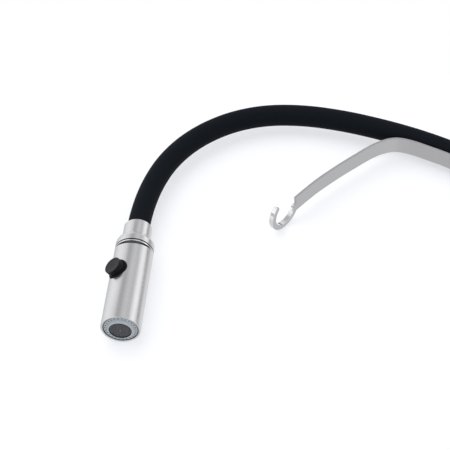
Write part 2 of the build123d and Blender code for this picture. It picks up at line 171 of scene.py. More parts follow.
class Material(Graph):
    def __init__(self, name):
        self.mat = bpy.data.materials.new(name)
        self.mat.use_nodes = True
        super().__init__(self.mat.node_tree)
        self.bsdf = self.tree.nodes["Principled BSDF"]
        self.out = self.tree.nodes["Material Output"]

    def coords(self, origin=ORIGIN, axes=np.eye(3), scale=1.0):
        """Object coordinates as millimetres from origin along three axes, times scale."""
        source = self.new("ShaderNodeTexCoord")
        offset = self.new("ShaderNodeVectorMath", operation="SUBTRACT")
        self.put(offset.inputs[0], source.outputs["Object"])
        self.put(offset.inputs[1], tuple(float(c) * MM for c in origin))
        local = self.new("ShaderNodeCombineXYZ")
        for socket, axis, factor in zip(local.inputs, axes, np.ones(3) * scale):
            self.put(socket, self.dot(offset.outputs[0], np.asarray(axis) * 1000 * factor))
        return local.outputs[0]

    def split(self, vector):
        node = self.new("ShaderNodeSeparateXYZ")
        self.put(node.inputs[0], vector)
        return node.outputs

    def noise(self, vector, detail=4.0, roughness=0.6, scale=1.0):
        node = self.new("ShaderNodeTexNoise")
        node.inputs["Scale"].default_value = scale
        node.inputs["Detail"].default_value = detail
        node.inputs["Roughness"].default_value = roughness
        self.put(node.inputs["Vector"], vector)
        return node.outputs["Fac"]

    def mix_color(self, factor, first, second):
        node = self.new("ShaderNodeMix", data_type="RGBA")
        # inputs 6 and 7 and output 2 are the colour sockets of this node
        for index, value in ((0, factor), (6, first), (7, second)):
            self.put(node.inputs[index], value)
        return node.outputs[2]

    def bump(self, height, strength, distance=0.03, under=None):
        node = self.new("ShaderNodeBump")
        node.inputs["Strength"].default_value = strength
        node.inputs["Distance"].default_value = distance * MM
        self.put(node.inputs["Height"], height)
        if under is not None:
            self.put(node.inputs["Normal"], under)
        return node.outputs["Normal"]

    def surface(self, color, roughness, normal=None, metallic=0.0, specular=0.5):
        self.put(self.bsdf.inputs["Base Color"], color)
        self.put(self.bsdf.inputs["Metallic"], metallic)
        self.put(self.bsdf.inputs["Roughness"], roughness)
        self.put(self.bsdf.inputs["Specular IOR Level"], specular)
        if normal is not None:
            self.put(self.bsdf.inputs["Normal"], normal)

    def show_front_only(self, shader):
        """Make the back of each face transparent."""
        geometry = self.new("ShaderNodeNewGeometry")
        clear = self.new("ShaderNodeBsdfTransparent")
        mixed = self.mix_shader(geometry.outputs["Backfacing"], shader, clear.outputs[0])
        self.put(self.out.inputs["Surface"], mixed)


def shade(color, factor):
    return tuple(min(1.0, c * factor) for c in color)


# ------------------------------------------------------------------ materials
def brushed(name, origin=ORIGIN, axes=np.eye(3), base=(0.74, 0.74, 0.75), rough=0.27,
            grain=(0.06, 0.06, 9.0)):
    """Brushed steel; grain holds the noise frequency along each local axis."""
    m = Material(name)
    coarse = m.noise(m.coords(origin, axes, grain), roughness=0.65)
    finer = (grain[0] * 2.7, grain[1] * 2.7, grain[2] * 3.1)
    fine = m.noise(m.coords(origin, axes, finer), detail=2.0, roughness=0.5)
    blotch = m.noise(m.coords(origin, axes), detail=3.0, roughness=0.5, scale=0.05)
    color = m.mix_color(m.remap(coarse), shade(base, 0.95), shade(base, 1.03))
    color = m.mix_color(m.remap(blotch, span=(0.35, 0.7), to=(0.0, 0.18)),
                        color, shade(base, 0.93))
    roughness = m.math(
        "ADD", m.remap(fine, span=(0.25, 0.75), to=(rough - 0.04, rough + 0.05)),
        m.remap(blotch, to=(-0.02, 0.03)))
    normal = m.bump(fine, strength=0.10, distance=0.02,
                    under=m.bump(coarse, strength=0.10, distance=0.05))
    m.surface(color, roughness, normal, metallic=1.0)
    return m.mat


def satin(name, base, rough):
    m = Material(name)
    tone = m.noise(m.coords(scale=0.25))
    fine = m.noise(m.coords(scale=3.2), detail=3.0)
    m.surface(m.mix_color(m.remap(tone), shade(base, 0.96), base),
              m.remap(tone, span=(0.2, 0.8), to=(rough - 0.03, rough + 0.05)),
              m.bump(fine, strength=0.12), metallic=1.0)
    return m.mat


def plastic(name, base, rough, bump=0.08, specular=0.5, mottle=0.08, sheen=0.0):
    m = Material(name)
    tone = m.noise(m.coords(scale=0.6))
    fine = m.noise(m.coords(scale=4.0), detail=2.0, roughness=0.5)
    m.surface(m.mix_color(m.remap(tone), shade(base, 1 - mottle), shade(base, 1 + mottle)),
              m.remap(tone, span=(0.25, 0.75), to=(rough - 0.04, rough + 0.04)),
              m.bump(fine, strength=bump), specular=specular)
    if sheen:
        m.put(m.bsdf.inputs["Sheen Weight"], sheen)
        m.put(m.bsdf.inputs["Sheen Roughness"], 0.45)
        m.put(m.bsdf.inputs["Sheen Tint"], (0.75, 0.86, 1.0))
    return m.mat


def metal(name, base, rough, bump=0.06, scale=0.5):
    m = Material(name)
    tone = m.noise(m.coords(scale=scale))
    m.surface(m.mix_color(m.remap(tone), shade(base, 0.95), base),
              m.remap(tone, span=(0.25, 0.75), to=(rough - 0.04, rough + 0.05)),
              m.bump(tone, strength=bump), metallic=1.0)
    return m.mat


def braid(name, origin, strands=8.0, pitch=2.2):
    """Crossed strands of a metal braid round a vertical hose."""
    m = Material(name)
    x, y, z = m.split(m.coords(origin))
    turn = m.math("MULTIPLY", m.math("ARCTAN2", y, x), strands)
    rise = m.math("MULTIPLY", z, 2 * math.pi / pitch)
    one_way = m.math("SINE", m.math("ADD", turn, rise))
    other_way = m.math("SINE", m.math("SUBTRACT", turn, rise))
    height = m.math("MULTIPLY", one_way, other_way)
    fine = m.noise(m.coords(origin, scale=(2, 2, 6)), detail=2.0, roughness=0.55)
    # the colour darkens where the strands dip into the gaps between them: painted shade in the
    # gaps
    m.surface(m.mix_color(m.remap(height, span=(-1, 1)),
                          (0.32, 0.32, 0.33), (0.72, 0.72, 0.73)),
              m.remap(fine, to=(0.28, 0.42)),
              m.bump(height, strength=0.7, distance=0.35), metallic=1.0)
    return m.mat


def hook_steel(name):
    """Cut strip: the flat faces across Z are satin, the walls between them polished."""
    m = Material(name)
    source = m.new("ShaderNodeTexCoord")
    facing = m.dot(source.outputs["Normal"], DIR_Z)
    flat = m.remap(m.math("ABSOLUTE", facing, 0.0), span=(0.55, 0.85))
    tone = m.noise(m.coords(scale=0.5))
    fine = m.noise(m.coords(scale=3.2), detail=3.0)
    color = m.mix_color(flat, (0.95, 0.95, 0.96), (0.60, 0.60, 0.62))
    m.surface(m.mix_color(m.remap(tone, to=(0.0, 0.12)), color, (0.50, 0.50, 0.52)),
              m.math("ADD", m.remap(flat, span=(0.0, 1.0), to=(0.10, 0.40)),
                     m.remap(tone, to=(-0.02, 0.03))),
              m.bump(fine, strength=0.06), metallic=1.0)
    return m.mat


def face_rubber(name, origin, axis, face_span):
    """Soft rubber whose end face is paler than its flanks."""
    m = Material(name)
    height = m.split(m.coords(origin, (axis, axis, axis)))[2]
    on_face = m.remap(height, span=face_span)
    tone = m.noise(m.coords(scale=0.6))
    fine = m.noise(m.coords(scale=4.0), detail=2.0, roughness=0.5)
    color = m.mix_color(on_face, (0.0035, 0.0035, 0.0045), (0.024, 0.024, 0.029))
    m.surface(m.mix_color(m.remap(tone, to=(0.0, 0.15)), color, (0.012, 0.012, 0.015)),
              m.remap(tone, span=(0.25, 0.75), to=(0.42, 0.50)),
              m.bump(fine, strength=0.05), specular=0.14)
    return m.mat


HEAD_GRAIN = dict(origin=HEAD_FACE, axes=(HEAD_X, DIR_Y, HEAD_AXIS))
STEEL_HEAD = brushed("steel_head", **HEAD_GRAIN)
STEEL_RING = brushed("steel_ring", **HEAD_GRAIN, base=(0.86, 0.86, 0.87), rough=0.20)
STEEL_COLUMN = brushed("steel_column")
STEEL_BOSS = brushed("steel_boss", origin=CARTRIDGE_CENTRE, axes=(DIR_X, DIR_Z, DIR_Y))
STEEL_LEVER = brushed("steel_lever", axes=(DIR_Z, DIR_Y, DIR_X), grain=(0.05, 3.0, 6.0))
STRIP = satin("satin_strip", base=(0.60, 0.60, 0.61), rough=0.42)
HOOK_STEEL = hook_steel("hook_steel")
RUBBER = plastic("hose_rubber", (0.0045, 0.0060, 0.0085), rough=0.66, bump=0.10,
                 specular=0.06, mottle=0.10, sheen=0.01)
BUTTON = plastic("button_rubber", (0.0035, 0.0035, 0.0045), rough=0.44, bump=0.05,
                 specular=0.10)
GREY = plastic("grey_plate", (0.385, 0.420, 0.445), rough=0.42, bump=0.05,
               specular=0.45, mottle=0.05)
WHITE = plastic("white_plastic", (0.82, 0.82, 0.80), rough=0.40, bump=0.03, mottle=0.02)
BLACK = plastic("black_plastic", (0.020, 0.020, 0.024), rough=0.34, bump=0.04)
SEAL = plastic("seal_rubber", (0.012, 0.012, 0.013), rough=0.5, bump=0.05, specular=0.3)
O_RING = plastic("o_ring_rubber", (0.006, 0.006, 0.007), rough=0.62, bump=0.05,
                 specular=0.05)
# dark grey plastic for the neck adaptor; its darkness is also painted shade in the recess under
# the thin ring
NECK_RECESS_SHADE = plastic("neck_plastic_recess_shade", (0.095, 0.100, 0.110), rough=0.30, bump=0.04, mottle=0.04)
OUTLET = plastic("outlet_dark", (0.018, 0.020, 0.023), rough=0.38, bump=0.05,
                 specular=0.3)
OUTLET_MESH = plastic("outlet_mesh_grey", (0.100, 0.105, 0.112), rough=0.35, bump=0.04)
BRASS = metal("brass", (0.78, 0.60, 0.30), rough=0.28, scale=(0.1, 0.1, 4.0))
PLATED = metal("plated", (0.55, 0.56, 0.58), rough=0.22)
ZINC = metal("zinc", (0.66, 0.67, 0.66), rough=0.36, bump=0.12)
COPPER = metal("copper", (0.80, 0.48, 0.33), rough=0.30, scale=(0.3, 0.3, 0.1))
CERAMIC = plastic("ceramic", (0.86, 0.85, 0.82), rough=0.15, bump=0.01, mottle=0.01)


# ------------------------------------------------------------------ mesh tools
def mesh_data(name, verts, faces):
    """A mesh in metres from vertices in millimetres."""
    mesh = bpy.data.meshes.new(name)
    mesh.from_pydata([tuple(v) for v in np.asarray(verts, float) * MM], [], faces)
    return mesh


def mesh_object(name, verts, faces, material, normals=None, smooth=True):
    mesh = mesh_data(name, verts, faces)
    mesh.validate()
    if smooth:
        for polygon in mesh.polygons:
            polygon.use_smooth = True
    if normals is not None:
        mesh.normals_split_custom_set_from_vertices([tuple(n) for n in normals])
    mesh.update()
    obj = bpy.data.objects.new(name, mesh)
    bpy.context.scene.collection.objects.link(obj)
    obj.data.materials.append(material)
    return obj


def assign(obj, body, node):
    """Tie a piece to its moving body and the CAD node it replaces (if any)."""
    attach(obj, body)
    if node:
        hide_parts(node)


def circle(u, v, count):
    """Unit directions round a circle, from u towards v."""
    angles = [2 * math.pi * k / count for k in range(count)]
    return np.array([u * math.cos(a) + v * math.sin(a) for a in angles])


def tube_faces(rows, count, flip=False):
    """Quads between successive closed rings of count vertices."""
    faces = []
    for i in range(rows - 1):
        near, far = i * count, (i + 1) * count
        for k in range(count):
            after = (k + 1) % count
            face = [near + k, near + after, far + after, far + k]
            faces.append(face[::-1] if flip else face)
    return faces


def rounded_profile(profile, fillet, steps=4):
    """Round every corner of a closed profile of (radius, height[, fillet]) points.

    Returns points, outward normals and 1 or -1 for a counter-clockwise or clockwise run.
    """
    corners = [np.array(p[:2], float) for p in profile]
    fillets = [p[2] if len(p) > 2 else fillet for p in profile]
    followers = corners[1:] + corners[:1]
    area = sum(p[0] * q[1] - q[0] * p[1] for p, q in zip(corners, followers))
    winding = 1.0 if area > 0 else -1.0
    points, normals = [], []
    for i, (corner, following) in enumerate(zip(corners, followers)):
        a, b = corner - corners[i - 1], following - corner
        len_a, len_b = np.linalg.norm(a), np.linalg.norm(b)
        a, b = a / len_a, b / len_b
        normal_a, normal_b = vec(a[1], -a[0]) * winding, vec(b[1], -b[0]) * winding
        angle = math.acos(float(np.clip(a @ b, -1, 1)))
        on_axis = corner[0] < 1e-6
        if on_axis or angle < 1e-3:
            normal = normal_a + normal_b
            if on_axis:
                normal = normal_b if abs(normal_b[1]) > abs(normal_a[1]) else normal_a
            points.append(corner)
            normals.append(normal / np.linalg.norm(normal))
            continue
        half_tan = math.tan(angle / 2)
        radius = min(fillets[i], 0.45 * min(len_a, len_b) / max(half_tan, 1e-6))
        count = max(2, int(math.ceil(steps * angle / (math.pi / 2))) + 1)
        turn = 1 if a[0] * b[1] - a[1] * b[0] > 0 else -1
        reach = radius * winding * turn
        centre = corner - a * radius * half_tan - normal_a * reach
        for j in range(count):
            theta = j / (count - 1) * angle
            c, s = math.cos(theta), math.sin(theta) * turn
            normal = vec(normal_a[0] * c - normal_a[1] * s, normal_a[0] * s + normal_a[1] * c)
            points.append(centre + normal * reach)
            normals.append(normal)
    return points, normals, winding


def lathe(name, profile, place, material, body, node, segments=128, fillet=0.18):
    """Turn a closed (radius, height[, fillet]) profile about the axis of a place."""
    points, point_normals, winding = rounded_profile(profile, fillet)
    origin, axis, first = place
    spokes = circle(first, np.cross(axis, first), segments)
    verts, normals, rings = [], [], []
    for (radius, height), (out, along) in zip(points, point_normals):
        if radius < 1e-6:
            rings.append([len(verts)] * segments)
            verts.append(origin + axis * height)
            normals.append(axis * (1 if along > 0 else -1))
        else:
            rings.append(list(range(len(verts), len(verts) + segments)))
            verts.extend(origin + axis * height + spokes * radius)
            normals.extend(spokes * out + axis * along)
    faces = []
    for ring, following in zip(rings, rings[1:] + rings[:1]):
        if ring[0] == ring[1] and following[0] == following[1]:
            continue  # both on the axis
        for k in range(segments):
            after = (k + 1) % segments
            quad = [ring[k], ring[after], following[after], following[k]]
            face = list(dict.fromkeys(quad))  # a triangle where a ring is a pole
            faces.append(face if winding > 0 else face[::-1])
    obj = mesh_object(name, verts, faces, material, normals)
    assign(obj, body, node)
    return obj


def rounded_rectangle(width, thick, radius, steps=4):
    """Counter-clockwise points and normals of a section."""
    x, y = width / 2, thick / 2
    radius = min(radius, x - 1e-4, y - 1e-4)
    x, y = x - radius, y - radius
    points, normals = [], []
    for cx, cy, start in ((x, y, 0), (-x, y, 90), (-x, -y, 180), (x, -y, 270)):
        for j in range(steps + 1):
            angle = math.radians(start + 90 * j / steps)
            c, s = math.cos(angle), math.sin(angle)
            points.append((cx + radius * c, cy + radius * s))
            normals.append((c, s))
    return points, normals


def strip_mesh(name, stations, material, edge):
    """Solid strip through (centre, width direction, thickness direction, width, thickness)."""
    verts, normals = [], []
    for centre, u, v, width, thick in stations:
        points, point_normals = rounded_rectangle(width, thick, edge)
        verts += [centre + u * a + v * b for a, b in points]
        normals += [u * a + v * b for a, b in point_normals]
    count = len(points)
    centres = [station[0] for station in stations]
    across = np.cross(stations[0][1], stations[0][2])
    flip = np.dot(across, centres[1] - centres[0]) < 0
    faces = tube_faces(len(stations), count, flip)
    # the end caps have their own vertices, so that their edges stay sharp
    for base, outward, reverse in (
            (0, centres[0] - centres[1], not flip),
            ((len(stations) - 1) * count, centres[-1] - centres[-2], flip)):
        cap = list(range(len(verts), len(verts) + count))
        verts += verts[base:base + count]
        normals += [outward / np.linalg.norm(outward)] * count
        faces.append(cap[::-1] if reverse else cap)
    return mesh_object(name, verts, faces, material, normals)


def clamped_spline(points, start_tangent, end_tangent, per=10):
    """Smooth cubic through 2-D points by chord length: points and unit tangents."""
    points = np.array(points, float)
    count = len(points)
    chord = np.linalg.norm(np.diff(points, axis=0), axis=1)
    matrix, rhs = np.zeros((count, count)), np.zeros((count, 2))
    matrix[0, 0] = matrix[-1, -1] = 1
    rhs[0], rhs[-1] = start_tangent, end_tangent
    for i in range(1, count - 1):
        before, after = chord[i - 1], chord[i]
        matrix[i, i - 1:i + 2] = after, 2 * (before + after), before
        rhs[i] = 3 * (after * (points[i] - points[i - 1]) / before
                      + before * (points[i + 1] - points[i]) / after)
    slopes = np.linalg.solve(matrix, rhs)
    curve, tangents = [], []
    for i, length in enumerate(chord):
        p, q, slope_p, slope_q = points[i], points[i + 1], slopes[i], slopes[i + 1]
        for j in range(per + (1 if i == count - 2 else 0)):
            u = j / per
            curve.append((2*u**3 - 3*u**2 + 1) * p + (u**3 - 2*u**2 + u) * length * slope_p
                         + (-2*u**3 + 3*u**2) * q + (u**3 - u**2) * length * slope_q)
            tangent = (((6*u**2 - 6*u) * p + (-6*u**2 + 6*u) * q) / length
                       + (3*u**2 - 4*u + 1) * slope_p + (3*u**2 - 2*u) * slope_q)
            tangents.append(tangent / np.linalg.norm(tangent))
    return np.array(curve), np.array(tangents)


def end_inset(radius, depth):
    """How far a round end draws in on each side at this depth from its tip."""
    if depth >= radius:
        return 0.0
    return radius - math.sqrt(max(0.0, radius ** 2 - (radius - depth) ** 2))


def carve(obj, lower, upper, caps_first=False):
    """Cut the prism between two outlines out of an object for good."""
    count = len(lower)
    caps = [list(range(count)), list(range(count, 2 * count))]
    sides = tube_faces(2, count)
    # the order of the faces can set the order of the vertices in the result
    faces = caps + sides if caps_first else sides + caps
    mesh = mesh_data("cutter", [*lower, *upper], faces)
    bm = bmesh.new()
    bm.from_mesh(mesh)
    bmesh.ops.recalc_face_normals(bm, faces=bm.faces)
    bm.to_mesh(mesh)
    bm.free()
    cutter = bpy.data.objects.new("cutter", mesh)
    bpy.context.scene.collection.objects.link(cutter)
    boolean = obj.modifiers.new("cut", "BOOLEAN")
    boolean.operation = "DIFFERENCE"
    boolean.object = cutter
    boolean.solver = "EXACT"
    bpy.context.view_layer.update()
    depsgraph = bpy.context.evaluated_depsgraph_get()
    result = bpy.data.meshes.new_from_object(obj.evaluated_get(depsgraph),
                                             depsgraph=depsgraph)
    obj.modifiers.remove(boolean)
    obj.data = result
    bpy.data.objects.remove(cutter)


# ------------------------------------------------------------------ flexible hose
def build_hose():
    """One curved span per joint, from the middle of one link to the middle of the next."""
    links = range(1, len(HOSE_JOINTS))
    nodes = ["hose_root"] + [f"hose_link_{k:02d}" for k in links] + ["hose_tip"]
    joints = [vec(x, 0, z) for x, z in HOSE_JOINTS]
    middles = [(a + b) / 2 for a, b in zip(joints, joints[1:])]
    middles = [HOSE_START] + middles + [HOSE_END]
    for i, joint in enumerate(joints):
        start, end = middles[i], middles[i + 1]
        verts, normals = [], []
        steps = np.linspace(0, 1, 17)
        for u in steps:
            centre = (1 - u) ** 2 * start + 2 * u * (1 - u) * joint + u * u * end
            tangent = (1 - u) * (joint - start) + u * (end - joint)
            tangent = tangent / np.linalg.norm(tangent)
            ring = circle(vec(tangent[2], 0, -tangent[0]), DIR_Y, 64)
            verts.extend(centre + HOSE_R * ring)
            normals.extend(ring)
        span = mesh_object(f"hose_span_{i + 1:02d}", verts, tube_faces(len(steps), 64),
                           RUBBER, normals)
        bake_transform(span)
        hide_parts(nodes[i], nodes[i + 1])
    # cut faces inside the bush and the ferrule
    for name, centre, axis, body, length in (
            ("hose_cut_low", HOSE_START, -DIR_Z, "hose_foot", 2.9),
            ("hose_cut_high", HOSE_END, -HEAD_AXIS, "hose_end", 11.4)):
        profile = [(HOSE_BORE_R, 0.0), (HOSE_R, 0.0, 0.001), (HOSE_R, length),
                   (HOSE_BORE_R, length)]
        lathe(name, profile, (centre, axis, DIR_Y), RUBBER, body, None,
              segments=64)


# ------------------------------------------------------------------ spray head
def build_head_tube():
    tube = lathe("head_tube", [
        (15.2, 1.3), (15.2, 0.35, 0.3), (15.75, 0.0, 0.3), (16.35, 0.0, 0.4),
        (HEAD_R, 0.75, 0.6), (HEAD_R, HEAD_LENGTH, 0.3), (15.2, HEAD_LENGTH, 0.1)],
        ALONG_HEAD, STEEL_HEAD, "head", "head_shell", segments=192)
    # round hole for the button
    rim = BUTTON_CENTRE + circle(HEAD_AXIS, BUTTON_ACROSS, 96) * (BUTTON_R + 0.9)
    carve(tube, rim + BUTTON_AXIS * 6.0, rim + BUTTON_AXIS * 30.0)
    # slanting relief on the +Y side of the rear edge: (y, distance along the head)
    wedge = [(4.0, 85.06), (18.0, 81.55), (18.0, 88.0), (4.0, 88.0)]
    outline = np.array([HEAD_FACE + DIR_Y * y + HEAD_AXIS * t for y, t in wedge])
    carve(tube, outline - HEAD_X * 20.0, outline + HEAD_X * 20.0, caps_first=True)


def build_neck():
    """Ring, seal, collar and ferrule behind the head tube."""
    lathe("neck_thin_ring", [
        (9.3, 85.05), (HEAD_R, 85.05, 0.16), (HEAD_R, 86.38, 0.16), (9.3, 86.38)],
        ALONG_HEAD, STEEL_RING, "head", "neck_ring", segments=160, fillet=0.1)
    lathe("collar_seal_line", [
        (9.4, 86.4), (16.9, 86.4, 0.2), (16.9, 87.68, 0.2), (9.4, 87.68)],
        ALONG_HEAD, O_RING, "hose_end", "collar_o_ring",
        segments=160, fillet=0.1)
    lathe("collar", [
        (9.1, 87.7), (HEAD_R, 87.7, 0.18), (HEAD_R, 93.0, 2.5), (16.35, 95.3, 2.5),
        (15.0, 96.9, 2.0), (13.6, 97.6, 1.0), (12.55, 98.0, 0.15), (6.1, 98.0),
        (6.1, 96.0), (9.1, 96.0)],
        ALONG_HEAD, STEEL_HEAD, "hose_end", "hose_collar", segments=160)
    lathe("ferrule", [
        (6.1, 98.02), (12.5, 98.02, 0.05), (12.5, 114.1, 0.35), (12.1, 114.4, 0.3),
        (10.45, 114.4, 0.3), (10.08, 113.8, 0.3), (10.08, 100.4), (6.1, 100.4)],
        ALONG_HEAD, STEEL_HEAD, "hose_end", "hose_ferrule", segments=160)


def build_button():
    """Dished cap, and the saddle that follows the round of the head."""
    rubber = face_rubber("button_face_rubber", BUTTON_CENTRE, BUTTON_AXIS, BUTTON_FACE_SPAN)
    lathe("button_top", [
        (0, 9.2), (3.4, 9.2), (3.4, 10.6), (BUTTON_R, 10.6, 0.3), (BUTTON_R, 22.6, 0.7),
        (BUTTON_R - 1.1, 22.62, 0.6), (5.2, 22.3, 2.0), (2.6, 22.12, 2.0), (0, 22.1)],
        ALONG_BUTTON, rubber, "button", "button_cap",
        segments=96, fillet=0.15)
    # saddle section: (radius from the button axis, height above the head's surface)
    section = [
        (8.22, -1.6), (8.22, 0.2), (8.22, 1.10), (8.35, 1.28), (8.6, 1.30), (9.0, 1.12),
        (9.35, 0.80), (9.6, 0.42), (9.78, 0.04), (8.82, 0.04), (8.82, -1.6)]
    segments, count = 128, len(section)
    verts, faces = [], []
    for k in range(segments):
        angle = 2 * math.pi * k / segments
        here, after = k * count, (k + 1) % segments * count
        for j, (radius, above) in enumerate(section):
            x, y = radius * math.cos(angle), radius * math.sin(angle)
            height = math.sqrt((HEAD_R + above) ** 2 - y * y)
            verts.append(BUTTON_CENTRE + HEAD_AXIS * x + BUTTON_ACROSS * y
                         + BUTTON_AXIS * height)
            up = (j + 1) % count
            faces.append([here + j, after + j, after + up, here + up])
    saddle = mesh_object("button_collar", verts, faces, BUTTON)
    assign(saddle, "head", "button_saddle")


# ------------------------------------------------------------------ arm and hook
def build_arm():
    line, tangents = clamped_spline(ARM_LINE, start_tangent=(0.0, 1.0),
                                    end_tangent=(1.0, 0.02))
    travel = np.r_[0, np.cumsum(np.linalg.norm(np.diff(line, axis=0), axis=1))]
    stations = []
    for s in np.linspace(0, travel[-1], 160):
        x, z = (np.interp(s, travel, line[:, i]) for i in (0, 1))
        tx, tz = (np.interp(s, travel, tangents[:, i]) for i in (0, 1))
        size = math.hypot(tx, tz)
        stations.append((vec(x, 0, z), DIR_Y, vec(tz, 0, -tx) / size, ARM_WIDTH, ARM_THICK))
    arm = strip_mesh("arm_bar", stations, STRIP, edge=0.55)
    # the free end is hollowed to follow the inside of the hook
    inside = HOOK_CENTRE + circle(DIR_X, DIR_Y, 128) * (HOOK_R - HOOK_THICK)
    carve(arm, inside - DIR_Z * 8.0, inside + DIR_Z * 8.0)
    assign(arm, "column", "arm_strip")


def build_hook():
    """Open ring whose far tip is rounded."""
    middle_r = HOOK_R - HOOK_THICK / 2
    tip_angle = HOOK_TIP_R / middle_r
    angles = list(np.linspace(HOOK_START, HOOK_STOP - tip_angle, 110))
    angles += [HOOK_STOP - tip_angle * (1 - math.sin(u * math.pi / 2))
               for u in np.linspace(0.1, 1, 9)]
    stations = []
    for angle in angles:
        outward = vec(math.cos(angle), math.sin(angle), 0)
        inset = end_inset(HOOK_TIP_R, (HOOK_STOP - angle) * middle_r)
        height = HOOK_HEIGHT - 2 * inset * 0.8  # 0.8 leaves the tip a little blunt
        stations.append((HOOK_CENTRE + outward * middle_r, DIR_Z, outward, height,
                         HOOK_THICK))
    hook = strip_mesh("arm_ring", stations, HOOK_STEEL, edge=0.35)
    assign(hook, "column", "arm_hook")


# ------------------------------------------------------------------ column and mixer body
def build_column():
    lathe("column", [
        (9.2, 122.2), (COLUMN_R, 122.2), (COLUMN_R, COLUMN_TOP, 0.2), (9.2, COLUMN_TOP)],
        UPRIGHT, STEEL_COLUMN, "column", "column_tube")
    lathe("bush", [
        (8.12, 216.0), (9.15, 216.0), (9.15, 222.03), (COLUMN_R, 222.03, 0.2),
        (COLUMN_R, 233.5, 0.4), (11.05, 234.0, 0.1), (10.72, 234.0, 0.2),
        (10.09, 228.5, 1.5), (10.07, 222.9), (8.12, 222.9)],
        UPRIGHT, BLACK, "column", "top_bush")
    lathe("socket", [
        (13.06, 112.3), (19.6, 112.3, 0.3), (20.0, 112.9, 0.4), (20.0, 128.0, 12.0),
        (18.4, 138.5, 12.0), (14.6, 147.2, 5.0), (12.3, 149.4, 0.5), (11.3, 149.4),
        (11.3, 122.0), (5.1, 122.0), (5.1, 120.2), (13.06, 120.2)],
        UPRIGHT, STEEL_COLUMN, "column", "column_socket")


def build_body():
    lathe("body_tube", [
        (0, 8.1), (BODY_R, 8.1, 0.3), (BODY_R, 108.6, 2.6), (21.4, 112.0, 2.0),
        (13.0, 112.0, 0.1), (13.0, 119.6, 0.3), (5.1, 119.6), (5.1, 116.2), (0, 116.2)],
        UPRIGHT, STEEL_COLUMN, "mixer", "mixer_body", segments=160)
    lathe("body_boss", [
        (17.6, 16.0), (22.5, 16.0), (22.5, 50.0, 0.5), (19.65, 50.0, 0.2),
        (19.65, 40.0), (17.6, 40.0)],
        ALONG_CARTRIDGE, STEEL_BOSS, "mixer", None, segments=160)


def pivot_arc(radius, degrees, fillet):
    """Profile points on a sphere about the lever's pivot, by angle from the axis."""
    angles = [math.radians(d) for d in degrees]
    return [(radius * math.sin(a), PIVOT_Y + radius * math.cos(a), fillet) for a in angles]


def build_dome():
    radius, opening_r = 26, 15.0
    opening_y = PIVOT_Y + math.sqrt(radius ** 2 - opening_r ** 2)
    lathe("dome", [
        (opening_r, 54.99), (17.0, 53.22), (19.5, 50.33), (19.7, 50.05), (22.45, 50.05),
        *pivot_arc(radius, (59.5, 56, 52, 48, 44, 40, 36.5), 0.5),
        (opening_r, opening_y, 0.3)],
        ALONG_CARTRIDGE, STEEL_BOSS, "mixer", "dome_cover")


def build_lever():
    """Domed hub with an upright blade that has round ends."""
    inner_r, rim_y = 26.5, 51.45
    lathe("lever_hub", [
        (0, 63.6), (4.6, 63.6, 0.2), (4.7, 62.12, 0.2),
        *pivot_arc(inner_r, (14, 20, 26, 34, 42, 50, 54), 0.4),
        (inner_r * math.sin(math.radians(54.5)), rim_y, 0.2), (25.75, rim_y, 0.4),
        *pivot_arc(30, (56, 50, 44, 38, 32, 28), 0.6),
        (13.8, 62.9, 0.8), (13.8, 67.6, 0.7), (0, 67.6)],
        ALONG_CARTRIDGE, STEEL_BOSS, "lever_arm", "lever")
    end_r = BLADE_WIDTH / 2
    quarter = math.pi / 2
    heights = np.r_[
        BLADE_BOTTOM + end_r * (1 - np.cos(np.linspace(0.12, 1, 10) * quarter)),
        np.linspace(BLADE_BOTTOM + 7, BLADE_TOP - 7, 50),
        BLADE_TOP - end_r * (1 - np.sin(np.linspace(0.0, 0.93, 10) * quarter))]
    stations = []
    for z in heights:
        depth = min(z - BLADE_BOTTOM, BLADE_TOP - z)
        width = max(BLADE_WIDTH - 2 * end_inset(end_r, depth), 1.5)
        stations.append((vec(0, BLADE_Y, z), DIR_X, DIR_Y, width, BLADE_THICK))
    blade = strip_mesh("lever_blade", stations, STEEL_LEVER, edge=0.9)
    assign(blade, "lever_arm", None)


def build_base():
    lathe("flange", [
        (17.0, 1.6), (29.0, 1.6, 0.3), (29.5, 2.2, 0.4), (29.5, 4.2, 2.0),
        (27.2, 7.2, 2.0), (25.2, 8.0, 0.6), (17.0, 8.0)],
        UPRIGHT, STEEL_COLUMN, "mixer", "base_flange", segments=160)
    lathe("gasket", [
        (17.2, 0.0), (28.4, 0.0, 0.3), (28.6, 0.75, 0.3), (28.4, 1.55, 0.3), (17.2, 1.55)],
        UPRIGHT, SEAL, "mixer", "base_gasket")


def build_shank():
    """Threaded tube with a real helical thread that fades out at both ends."""
    segments = 96
    spokes = circle(DIR_X, DIR_Y, segments)
    levels = np.arange(SHANK_BOTTOM, SHANK_TOP + 0.01, 0.25)
    verts = []
    for z in levels:
        above = z - SHANK_BOTTOM
        fade = min(1.0, max(0.0, above / 1.5)) * min(1.0, max(0.0, (2.0 - z) / 3))
        lead_in = 0.35 * (1 - min(1.0, above))
        for k, spoke in enumerate(spokes):
            phase = ((z - THREAD_PITCH * k / segments) / THREAD_PITCH) % 1.0
            groove = 1 - abs(phase - 0.5) * 2
            radius = SHANK_R - THREAD_DEPTH * groove * fade - lead_in
            verts.append(spoke * radius + DIR_Z * z)
    faces = tube_faces(len(levels), segments)
    top = (len(levels) - 1) * segments
    bore_low = len(verts)
    bore_high = bore_low + segments
    for z in (SHANK_BOTTOM, SHANK_TOP):
        verts.extend(spokes * SHANK_BORE_R + DIR_Z * z)
    for k in range(segments):
        after = (k + 1) % segments
        faces.append([bore_low + k, bore_low + after, after, k])
        faces.append([bore_high + after, bore_high + k, top + k, top + after])
        faces.append([bore_low + after, bore_low + k, bore_high + k, bore_high + after])
    shank = mesh_object("shank", verts, faces, BRASS)
    assign(shank, "mixer", "threaded_shank")


